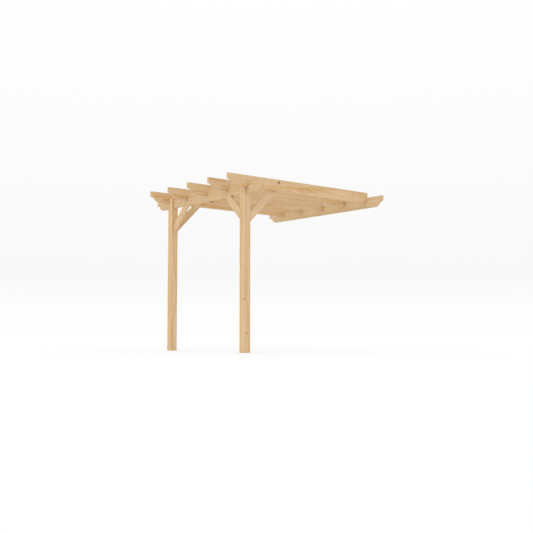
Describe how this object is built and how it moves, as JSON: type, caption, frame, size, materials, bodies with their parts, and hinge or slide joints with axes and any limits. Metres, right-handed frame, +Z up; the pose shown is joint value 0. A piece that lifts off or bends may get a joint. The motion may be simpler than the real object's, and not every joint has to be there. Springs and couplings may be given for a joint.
{
  "type": "lean-to timber pergola",
  "caption": "Lean-to softwood pergola: slotted posts carry a front beam, and cross-halved rafters with shaped ends run back to a plate on the wall.",
  "frame": {"origin": "centre of the wall plate's back face, on the wall", "axes": "+X along the wall to the right as seen from the front, +Y into the wall, +Z up"},
  "size_m": [2.4, 2.4, 2.1775],
  "materials": {
    "post_timber": "planed and untreated",
    "board_timber": "planed and untreated",
    "brace_timber": "planed and untreated"
  },
  "bodies": {
    "root": {"front_beam": "board_timber", "wall_plate": "board_timber", "left_post": "post_timber", "left_beam_brace": "brace_timber", "left_rafter_brace": "brace_timber", "right_post": "post_timber", "right_beam_brace": "brace_timber", "right_rafter_brace": "brace_timber", "rafter_1": "board_timber", "rafter_2": "board_timber", "rafter_3": "board_timber", "rafter_4": "board_timber", "rafter_5": "board_timber"}
  },
  "joints": []
}
